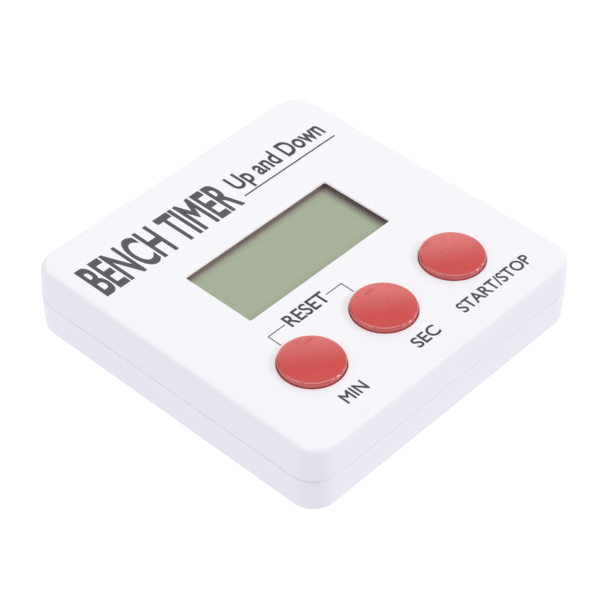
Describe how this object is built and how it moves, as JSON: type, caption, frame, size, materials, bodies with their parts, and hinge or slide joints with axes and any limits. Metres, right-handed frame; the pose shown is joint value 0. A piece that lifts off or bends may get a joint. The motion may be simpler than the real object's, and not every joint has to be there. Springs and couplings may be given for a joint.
{
  "type": "lab timer",
  "caption": "Flat square bench timer with a recessed display, push buttons, slide-off battery door, back magnets and fold-out stand; it counts up or down.",
  "frame": {"origin": "centre of the back face, on the surface the timer lies on", "axes": "+Z out of the display face, +Y to the timer's top edge, +X to the reader's right"},
  "size_m": [0.065, 0.065, 0.0144],
  "materials": {
    "white_plastic": "fine satin moulded ABS",
    "stand_plastic": "satin moulded ABS",
    "red_plastic": "glossy moulded ABS",
    "display_film": "grey-green reflective film with a faint sheen",
    "gasket_foam": "dark closed-cell foam",
    "display_glass": "clear thin glass",
    "reflector_foil": "satin foil",
    "natural_plastic": "plain moulding",
    "zebra_rubber": "striped silicone",
    "silicone": "translucent grey silicone",
    "carbon": "matt carbon",
    "board": "green solder mask over glass fibre",
    "gold_plate": "thin gold flash",
    "resin_black": "cured black resin",
    "tin_can": "bright tinned can",
    "chip_black": "dark ceramic chips",
    "chip_tan": "tan ceramic chips",
    "transistor_black": "moulded package",
    "screw_steel": "zinc plated",
    "cell_steel": "nickel plated can",
    "spring_steel": "nickel plated strip",
    "wire_red": "smooth insulation",
    "buzzer_brass": "rolled brass",
    "buzzer_white": "silvered ceramic",
    "ferrite": "dark ground ferrite",
    "print_ink": "dark grey screen-printed ink, for the lettering that is added to the front cover"
  },
  "bodies": {
    "case": {"front_cover": "white_plastic", "rear_cover": "white_plastic", "display_gasket": "gasket_foam", "lcd_polariser_front": "display_film", "lcd_glass_front": "display_glass", "lcd_glass_rear": "display_glass", "lcd_reflector": "reflector_foil", "lcd_holder": "natural_plastic", "zebra_strip": "zebra_rubber", "key_dome_minutes": "silicone", "key_dome_seconds": "silicone", "key_dome_start_stop": "silicone", "keypad_mat": "silicone", "pcb": "board", "pcb_pads": "gold_plate", "chip_blob": "resin_black", "crystal": "tin_can", "chip_resistors": "chip_black", "chip_capacitors": "chip_tan", "transistor": "transistor_black", "pcb_screws": "screw_steel", "case_screws": "screw_steel", "button_cell": "cell_steel", "battery_contact_positive": "spring_steel", "battery_contact_negative": "spring_steel", "battery_wires": "wire_red", "buzzer_plate": "buzzer_brass", "buzzer_ceramic": "buzzer_white", "buzzer_wires": "wire_red", "magnets": "ferrite"},
    "button_minutes": {"button_minutes": "red_plastic", "contact_pill_minutes": "carbon"},
    "button_seconds": {"button_seconds": "red_plastic", "contact_pill_seconds": "carbon"},
    "button_start_stop": {"button_start_stop": "red_plastic", "contact_pill_start_stop": "carbon"},
    "battery_door": {"battery_door": "white_plastic"},
    "stand": {"stand": "stand_plastic"}
  },
  "joints": [
    {"name": "press_minutes", "type": "slide", "parent": "case", "child": "button_minutes", "axis": [0, 0, -1], "range_m": [0, 0.00055], "deforming": ["key_dome_minutes"]},
    {"name": "press_seconds", "type": "slide", "parent": "case", "child": "button_seconds", "axis": [0, 0, -1], "range_m": [0, 0.00055], "deforming": ["key_dome_seconds"]},
    {"name": "press_start_stop", "type": "slide", "parent": "case", "child": "button_start_stop", "axis": [0, 0, -1], "range_m": [0, 0.00055], "deforming": ["key_dome_start_stop"]},
    {"name": "fold_stand", "type": "hinge", "parent": "case", "child": "stand", "pos_m": [0, 0.004, 0.00135], "axis": [1, 0, 0], "range_deg": [0, 70]},
    {"name": "slide_battery_door", "type": "slide", "parent": "case", "child": "battery_door", "axis": [0, 1, 0], "range_m": [0, 0.018]}
  ]
}
